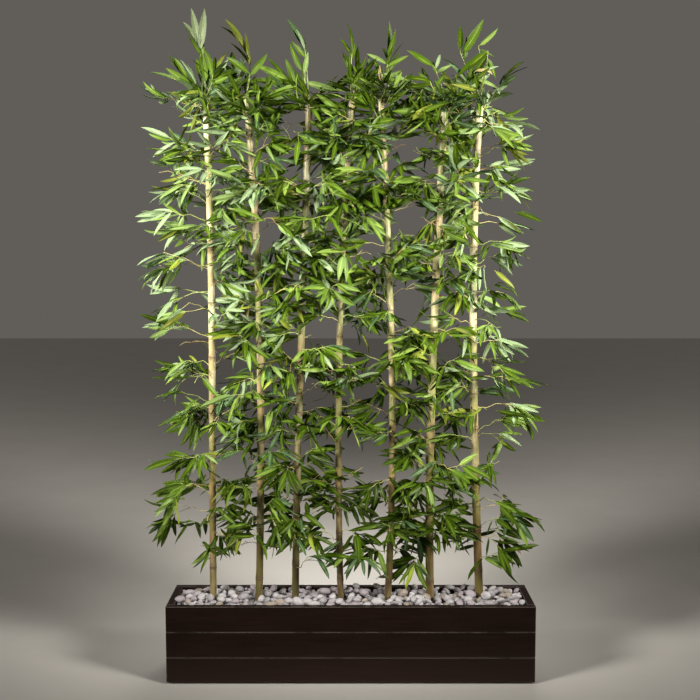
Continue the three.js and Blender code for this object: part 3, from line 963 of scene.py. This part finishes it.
class Spray:
    """Grows stems, side twigs and fans of leaves on one cane by a seeded rule."""

    def __init__(self, growth, cane, rng, leaf_box):
        self.growth, self.cane, self.rng = growth, cane, rng
        self.low, self.high = leaf_box

    def allowed(self, points):
        """Whether points lie in the leaf box, clear of the cane and outside the gaps in the foliage."""
        for point in points:
            inside = all(self.low[axis] < point[axis] < self.high[axis] for axis in range(3))
            axis = self.cane.at(point.z) if point.z < self.cane.top else None
            clear = axis is None or math.dist(point[:2], axis[:2]) > self.cane.radius(point.z) + CANE_GAP
            if not inside or not clear or in_clearing(point):
                return False
        return True

    def leaf(self, base, way, facing, length, tint, roll=0.5, widths=(0.88, 1.38)):
        """One leaf from a point of a twig, if it has room."""
        rng = self.rng
        shape = rng.choice(LEAF_SHAPES)
        if rng.random() < CURLED_SHARE:
            shape, tint, length = CURLED_LEAF, "cream", CURLED_LENGTH * length
        way = way.normalized()
        side = way.cross(facing).normalized()
        normal = side.cross(way).normalized()
        turn = Matrix.Rotation(rng.gauss(0, roll), 3, way) @ Matrix((side, way, normal)).transposed()
        width = rng.uniform(*widths)
        turn = turn @ Matrix.Diagonal((length * width, length, length))
        along = []
        for share in LEAF_CHECKS:
            along.append(base + way * (length * share) - UP * (LEAF_SAG * length * share ** 2))
        grown = self.allowed(along) and along[-1].z > LOWEST_LEAF
        if grown:
            self.growth.leaves.setdefault(tint, []).append((shape, turn, base))
        return grown

    def tint(self, place):
        """A leaf finish for a place, with painted light and shade: dark ones are more common low down, at the
        very top and in the middle of the screen, pale ones at mid height and to the sides.
        """
        side_light = np.interp(abs(place.x), *PAINTED_LIGHT_TO_SIDES) * np.interp(place.z, *SIDE_LIGHT_STRENGTH)
        lean = float(np.interp(place.z, *PAINTED_LIGHT_BY_HEIGHT) + side_light)
        weights = []
        for k, (_, _, _, share) in enumerate(LEAF_TINTS.values()):
            weights.append(share * math.exp(lean * (k - MIDDLE_TINT) / MIDDLE_TINT))
        return self.rng.choices(list(LEAF_TINTS), weights)[0]

    def fan_tint(self, bright, family, tip):
        """The finish of one leaf of a fan."""
        rng = self.rng
        if bright:
            return rng.choices(list(BRIGHT_TINTS), [share for _, _, _, share in BRIGHT_TINTS.values()])[0]
        return rng.choice(family) if rng.random() < FAMILY_SHARE else self.tint(tip)

    def fan(self, points, count, sag):
        """Leaves in one plane at the end of a twig: one at its tip, the others on either side behind it."""
        rng = self.rng
        tip = points[-1]
        heading = (tip - points[-2]).normalized()
        facing = self.facing(heading)
        brights = rng.choice(BRIGHT_HIGH if tip.z > BRIGHT_FROM else BRIGHT_LOW)
        bright = rng.sample(range(count), brights)
        family = [self.tint(tip), self.tint(tip)]
        opening = rng.uniform(0.75, 1.4)
        gap = rng.uniform(4, 12) * MM
        side = rng.choice((-1, 1))
        grown = 0
        for place in range(count):
            share = place / (count - 1)
            side = -side
            angle = side * opening * share ** 0.75 + rng.gauss(0, 0.12)
            way = Quaternion(facing, angle) @ heading
            if way.z > 0:
                way.z *= 1 - 0.5 * self.weight(tip.z)
            way = way + Vector((0, 0, -sag * rng.uniform(0.5, 1.2)))
            tilt = scattered(rng, 0.28)
            length = LEAF_LENGTH * rng.uniform(0.78, 1.14) * (1 - 0.12 * share)
            tint = self.fan_tint(place in bright, family, tip)
            grown += self.leaf(back_along(points, gap * place), way, facing + tilt, length, tint)
        return grown

    def facing(self, heading):
        """Which way a fan faces: most of them up or to the front and back, the rest anywhere."""
        rng = self.rng
        if rng.random() < FACING_UP:
            wish = Vector((rng.gauss(0, 0.35), rng.gauss(-0.2, 0.5), 1))
        elif rng.random() < FACING_LEVEL:
            wish = Vector((rng.gauss(0, 0.35), rng.choice((-1, 1)), rng.gauss(0, 0.35)))
        else:
            wish = scattered(rng, 1)
        flat = wish - heading * wish.dot(heading)
        if flat.length < LEAST_FACING:
            flat = heading.orthogonal()
        return flat.normalized()

    def stem(self, height, bearing, reach, rise, sag, side_twigs):
        """A stem from the skin of the cane, which bows over and ends in a fan, as its side twigs do."""
        rng = self.rng
        out = Vector((math.cos(bearing), math.sin(bearing), 0))
        start = self.cane.at(height) + out * (self.cane.radius(height) - MM)
        across = Vector((-out.y, out.x, 0))
        points = [start]
        for k in range(1, STEM_KINKS + 1):
            share = k / STEM_KINKS
            point = start + out * (reach * share) + UP * (rise * share - sag * share ** 2)
            point += across * rng.gauss(0, 3.5 * MM) + UP * rng.gauss(0, 3 * MM)
            points.append(point)
        tint = rng.choices(list(TWIG_TINTS), [share for _, _, share in TWIG_TINTS.values()])[0]
        count = rng.randint(*STEM_LEAVES)
        grown = self.fan(points, count, rng.uniform(*FAN_SAG) * self.weight(points[-1].z))
        for k in range(side_twigs):
            share = SIDE_TWIGS_AT[k % 3] + rng.uniform(-0.08, 0.08)
            grown += self.side_twig(points, share, across * (1 if k % 2 else -1), tint)
        if grown >= LEAST_LEAVES:
            self.growth.twigs[tint].append((points, STEM_THICK))
            self.growth.sockets.append((start, out))

    def side_twig(self, stem, share, across, tint):
        """A short twig from a stem, with a fan of its own."""
        rng = self.rng
        k = min(len(stem) - 2, int(share * (len(stem) - 1)))
        along = (stem[k + 1] - stem[k]).normalized()
        root = stem[k].lerp(stem[k + 1], rng.random())
        way = (along * 0.7 + across * rng.uniform(0.5, 1.1) + UP * rng.uniform(-0.5, 0.6)).normalized()
        length = rng.uniform(24, 55) * MM
        middle = root + way * (length * 0.5) + scattered(rng, 1.5 * MM)
        points = [root, middle, root + way * length]
        sag = rng.uniform(*FAN_SAG) * self.weight(points[-1].z)
        grown = self.fan(points, rng.randint(*TWIG_LEAVES), sag)
        if grown >= LEAST_LEAVES:
            self.growth.twigs[tint].append((points, TWIG_THICK))
        return grown

    def top_fan(self, end, turned, leaves):
        """A stem that stands up from the cut top of the cane, with leaves set at its end one by one."""
        rng = self.rng
        start = self.cane.at(self.cane.top - 6 * MM) + Vector((rng.gauss(0, 3), rng.gauss(0, 3), 0)) * MM
        bow = Vector((rng.gauss(0, 5), rng.gauss(0, 5), 0)) * MM
        shares = (0, 0.25, 0.5, 0.75, 1)
        points = [start.lerp(end, share) + bow * math.sin(math.pi * share) for share in shares]
        self.growth.twigs["green"].append((points, TOP_THICK))
        for place, (lean, length, tint) in enumerate(leaves):
            angle = math.radians(lean)
            way = Vector((math.sin(angle), rng.gauss(0, 0.2), math.cos(angle)))
            facing = Vector((math.sin(turned) + rng.gauss(0, 0.2), -math.cos(turned), rng.gauss(0.15, 0.25)))
            base = back_along(points, TOP_LEAF_GAP * place)
            self.leaf(base, way, facing, length * MM, tint, roll=0.2, widths=(1.15, 1.5))

    def weight(self, z):
        """How much leaves sag at a height: those near the top stand out more."""
        return 1.0 - STIFFNESS * min(1.0, max(0.0, (z - STIFF_FROM) / STIFF_OVER))


LEAF_SEED = 100
# The box that leaves grow in, measured from the low and the high corner of the whole screen.
BOX_LOW, BOX_HIGH = Vector((-0.012, 0.002, 0.2)), Vector((0.012, -0.002, 0.004))
# Stems of a mass stand further apart low down, and each is turned by the same angle from the last.
STEM_SPACING = {"foot": 36 * MM, "low": 30 * MM, "middle": 27 * MM, "high": 21 * MM, "crown": 16 * MM}
GOLDEN_ANGLE = 2.39996
PLAN_SQUARENESS = 2.8
LEAST_REACH = 0.118
STEM_BELOW = 0.02
RIM_STEMS = 6
# Stems stay this far from the bottom and the top of their mass, and from both together.
MASS_MARGIN, BOTH_MARGINS = 0.02, 0.03
# Stems that shape the sides and the foot, for each cane: height on the cane in mm, bearing in degrees,
# reach, rise and sag in mm, and number of side twigs.
OUTER_STEMS = [
    [
        (1350, 184, 125, 55, 20, 3), (1550, 172, 60, 30, 10, 1), (1430, 178, 70, 40, 30, 2),
        (1400, 200, 60, 40, 30, 2), (430, 20, 70, 10, 60, 3), (390, -25, 50, 10, 40, 2),
        (1120, 12, 75, 30, 20, 3), (690, 184, 50, 30, 20, 2), (860, 180, 85, 30, 30, 2),
        (1300, 172, 75, 50, 10, 3), (1520, 20, 60, 60, 10, 3), (1220, 178, 80, 40, 30, 2),
        (1130, 183, 120, 30, 40, 3), (1060, 171, 110, 20, 60, 2), (920, 186, 80, 30, 40, 2),
        (830, 176, 75, 30, 45, 2), (740, 182, 65, 30, 40, 2), (590, 178, 85, 45, 40, 2),
        (520, 188, 100, 30, 50, 2), (450, 174, 120, 30, 60, 3), (1560, 178, 85, 30, 10, 2),
        (1190, 185, 60, 20, 30, 2),
    ],
    [
        (430, 200, 60, 10, 50, 2), (450, -15, 90, 10, 60, 3), (1130, 178, 50, 30, 20, 2),
        (700, 176, 50, 30, 20, 2), (1300, 15, 60, 50, 20, 3), (1430, -20, 60, 50, 20, 2),
    ],
    [
        (430, 190, 60, 10, 50, 2), (440, 10, 75, 10, 60, 2), (1330, -15, 60, 50, 20, 3),
        (960, 170, 50, 10, 30, 2),
    ],
    [
        (1290, 20, 70, 50, 20, 3),
    ],
    [
        (430, -20, 75, 10, 60, 2), (1270, -5, 70, 50, 20, 3), (1420, 10, 70, 50, 20, 2),
        (950, 0, 60, 20, 30, 3), (1370, 5, 60, 0, 30, 2),
    ],
    [
        (420, 15, 70, 10, 50, 2), (600, 188, 60, 30, 20, 2), (1290, 185, 60, 50, 20, 3),
        (1410, 190, 70, 50, 20, 2), (1440, -10, 70, 50, 20, 2), (330, 190, 50, 0, 30, 2),
        (950, 180, 60, 10, 30, 2),
    ],
    [
        (1270, 175, 60, 50, 20, 2), (1250, 0, 80, 50, 20, 3), (1520, 10, 50, 50, 20, 1),
        (1440, -8, 70, 45, 30, 2), (1320, 6, 95, 40, 30, 2), (1190, -5, 85, 35, 40, 2),
        (1010, 8, 85, 30, 40, 2), (920, -7, 80, 30, 40, 2), (740, 4, 130, 35, 40, 3),
        (660, -10, 60, 30, 40, 2), (450, 3, 110, 35, 40, 3), (370, -8, 65, 20, 30, 2),
        (880, 5, 75, 0, 40, 2), (1385, 10, 50, 0, 30, 2),
    ],
]
# Fans that stand up from the cut tops, for each cane: place of the stem's end in mm, degrees the fan is
# turned from the front, and for each leaf the degrees it leans to the right, its length in mm and its finish.
TOP_FANS = [
    [
        ((-404, 0, 1718), 0, [(-33, 80, "frost"), (-10, 100, "frost"), (6, 107, "frost"), (-34, 58, "deep"),
            (3, 60, "forest")]),
        ((-437, -20, 1628), 15, [(-41, 76, "forest"), (-24, 72, "forest"), (-73, 110, "fresh"),
            (-56, 80, "mid")]),
        ((-361, 10, 1640), -10, [(10, 86, "olive"), (35, 60, "sheen"), (61, 84, "forest"),
            (-15, 60, "forest"), (80, 70, "deep")]),
        ((-399, 30, 1640), 0, [(-5, 66, "deep"), (-18, 66, "forest"), (20, 60, "olive"), (48, 70, "deep")]),
    ],
    [
        ((-271, 0, 1684), 62, [(-24, 112, "olive"), (-18, 118, "deep"), (-30, 80, "deep"),
            (-12, 90, "olive")]),
        ((-268, -20, 1640), 0, [(-52, 76, "forest"), (36, 75, "mid"), (-20, 60, "blue"), (75, 80, "forest"),
            (100, 70, "mid")]),
    ],
    [
        ((-122, 0, 1710), 30, [(-30, 84, "blue"), (-20, 60, "sheen"), (-10, 60, "deep"),
            (-38, 60, "forest")]),
        ((-127, -10, 1645), 0, [(-29, 90, "forest"), (14, 60, "fresh"), (64, 60, "sheen"),
            (105, 90, "fresh"), (-8, 60, "deep")]),
        ((-169, 20, 1630), 10, [(-42, 78, "deep"), (-65, 95, "mid"), (-84, 95, "deep"),
            (-20, 70, "forest")]),
    ],
    [
        ((3, 0, 1695), 40, [(3, 84, "deep"), (-22, 56, "deep"), (14, 60, "forest")]),
        ((3, 20, 1640), 0, [(-20, 66, "deep"), (-52, 66, "deep"), (28, 60, "forest"), (-80, 70, "forest")]),
        ((41, -20, 1630), 0, [(11, 60, "blue"), (-40, 56, "forest"), (60, 60, "mid"), (95, 66, "forest")]),
    ],
    [
        ((100, 0, 1690), 25, [(4, 85, "deep"), (14, 76, "forest"), (-8, 64, "deep")]),
        ((99, -10, 1665), 0, [(-60, 60, "fresh"), (60, 64, "mid"), (-100, 60, "mid"), (102, 60, "fresh"),
            (-25, 52, "forest")]),
        ((92, 20, 1632), 0, [(-90, 66, "forest"), (80, 80, "mid"), (50, 70, "forest"), (-50, 66, "mid")]),
    ],
    [
        ((222, 0, 1662), 0, [(-60, 80, "forest"), (20, 52, "sheen"), (60, 52, "fresh"), (-20, 56, "mid"),
            (100, 60, "mid")]),
        ((211, -20, 1620), 0, [(-75, 80, "deep"), (-95, 75, "deep"), (-40, 60, "forest"), (35, 60, "forest"),
            (78, 70, "mid")]),
    ],
    [
        ((292, 0, 1700), 10, [(0, 76, "deep"), (36, 104, "forest"), (24, 100, "fresh"), (12, 64, "deep")]),
        ((341, 10, 1717), 40, [(56, 70, "lime"), (110, 44, "deep")]),
        ((365, -10, 1701), 0, [(-131, 112, "deep"), (-145, 76, "deep"), (150, 64, "forest")]),
        ((327, -20, 1645), 0, [(82, 84, "lime"), (66, 66, "sheen"), (112, 66, "fresh"), (40, 64, "forest")]),
    ],
]


def outline(extents, bearing):
    """How far a mass of leaves reaches from its cane at a bearing."""
    right, left, back, front = extents
    across = abs(math.cos(bearing)) / (right if math.cos(bearing) > 0 else left)
    along = abs(math.sin(bearing)) / (back if math.sin(bearing) > 0 else front)
    return 1 / (across ** PLAN_SQUARENESS + along ** PLAN_SQUARENESS) ** (1 / PLAN_SQUARENESS)


def grow_mass(spray, node, turn):
    """Stems that fill the space of one mass of leaves, each turned further round the cane than the last."""
    low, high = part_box(node)
    cane, rng = spray.cane, spray.rng
    top = min(high.z, cane.top - MASS_MARGIN)
    count = max(2, round((top - low.z) / STEM_SPACING[node.split("_")[-1]]))
    for k in range(count):
        place = k + rng.uniform(0.2, 0.8)
        height = low.z + MASS_MARGIN + (top - low.z - BOTH_MARGINS) * place / count
        middle = cane.at(height)
        extents = (
            max(high.x - middle.x, LEAST_REACH), max(middle.x - low.x, LEAST_REACH),
            high.y - middle.y, middle.y - low.y,
        )
        bearing = turn + k * GOLDEN_ANGLE + rng.gauss(0, 0.25)
        reach = outline(extents, bearing) * rng.uniform(0.34, 0.62)
        rise, sag = rng.uniform(0.0, 0.06), rng.uniform(0.0, 0.025)
        spray.stem(height - STEM_BELOW, bearing, reach, rise, sag, rng.choice((1, 2, 2)))
    return turn + count * GOLDEN_ANGLE


def grow_top(spray, fans):
    """The stems and leaves that stand up from the cut top of a cane, and the short ones round its rim."""
    rng, cane = spray.rng, spray.cane
    for end, turned, leaves in fans:
        spray.top_fan(Vector([part / 1000 for part in end]), math.radians(turned), leaves)
    for k in range(RIM_STEMS):
        bearing = k * GOLDEN_ANGLE + rng.gauss(0, 0.3)
        rise, depth, reach = rng.uniform(0.0, 0.08), rng.uniform(0.004, 0.04), rng.uniform(0.015, 0.06)
        spray.stem(cane.top - depth, bearing, reach, rise, 0.0, rng.choice((0, 1, 1)))


def grow_foliage(canes):
    """The foliage of the whole screen."""
    growth = Growth()
    low, high = cad_box
    leaf_box = (low + BOX_LOW, high + BOX_HIGH)
    for number, cane in enumerate(canes):
        rng = random.Random(LEAF_SEED + number)
        spray = Spray(growth, cane, rng, leaf_box)
        turn = rng.uniform(0, math.tau)
        for node in LEAF_NODES:
            if node.startswith(f"leaves_{number + 1}_"):
                turn = grow_mass(spray, node, turn)
        grow_top(spray, TOP_FANS[number])
        for height, bearing, reach, rise, sag, sides in OUTER_STEMS[number]:
            spray.stem(height / 1000, math.radians(bearing), reach / 1000, rise / 1000, sag / 1000, sides)
    return growth


def twig_mesh(name, twigs):
    """Thin round twigs through their points, with closed ends, as one mesh."""
    curve = bpy.data.curves.new(name, "CURVE")
    curve.dimensions = "3D"
    curve.bevel_depth = 1.0
    curve.bevel_resolution = 1
    curve.use_fill_caps = True
    for points, thick in twigs:
        spline = curve.splines.new("POLY")
        spline.points.add(len(points) - 1)
        for k, point in enumerate(points):
            spline.points[k].co = (*point, 1)
            taper = 0.35 * k / (len(points) - 1)
            spline.points[k].radius = thick * (1 - taper)
    holder = bpy.data.objects.new(name, curve)
    mesh = bpy.data.meshes.new_from_object(holder)
    mesh.name = name
    bpy.data.objects.remove(holder)
    return mesh


def twig_finish(name, dark, light):
    return clouded(f"twig_{name}", 0.5, dark, light, 60.0, (0.2, 0.3 * MM), spread=(0.35, 0.65))


def build_sockets(sockets):
    """The small knobs on the canes that the stems grow from."""
    bm = bmesh.new()
    bmesh.ops.create_cone(bm, cap_ends=True, segments=7, radius1=3.4 * MM, radius2=1.5 * MM, depth=5 * MM)
    knob = Shape(bm)
    placed = []
    for place, out in sockets:
        placed.append((knob, out.to_track_quat("Z", "Y").to_matrix(), place + out * (1.2 * MM)))
    finish = clouded("stem_knob", 0.6, (0.20, 0.15, 0.06), (0.36, 0.30, 0.13), 200.0, None)
    add_piece("stem_knobs", joined_mesh("stem_knobs", placed), [finish], CANE_NAMES)


def build_foliage(canes):
    growth = grow_foliage(canes)
    build_sockets(growth.sockets)
    tints = {**LEAF_TINTS, **BRIGHT_TINTS, **SPECIAL_TINTS}
    for name, placed in sorted(growth.leaves.items()):
        blade, rib, gloss = tints[name][:3]
        band = tuple(Vector(blade).lerp(Vector(rib), BAND_LIGHTENING))
        parts = (("blade", blade), ("rib", rib), ("band", band))
        finishes = [leaf_finish(f"{part}_{name}", colour, gloss) for part, colour in parts]
        add_piece(f"leaves_{name}", joined_mesh(f"leaves_{name}", placed), finishes, LEAF_NODES)
    for name, twigs in growth.twigs.items():
        finish = twig_finish(name, *TWIG_TINTS[name][:2])
        add_piece(f"twigs_{name}", twig_mesh(f"twigs_{name}", twigs), [finish], LEAF_NODES)


set_camera()
set_light()
lay_floor()
canes = [Cane(name) for name in CANE_NAMES]
build_planter()
finish_feet()
finish_fill()
build_pebbles(canes)
build_canes(canes)
build_foliage(canes)
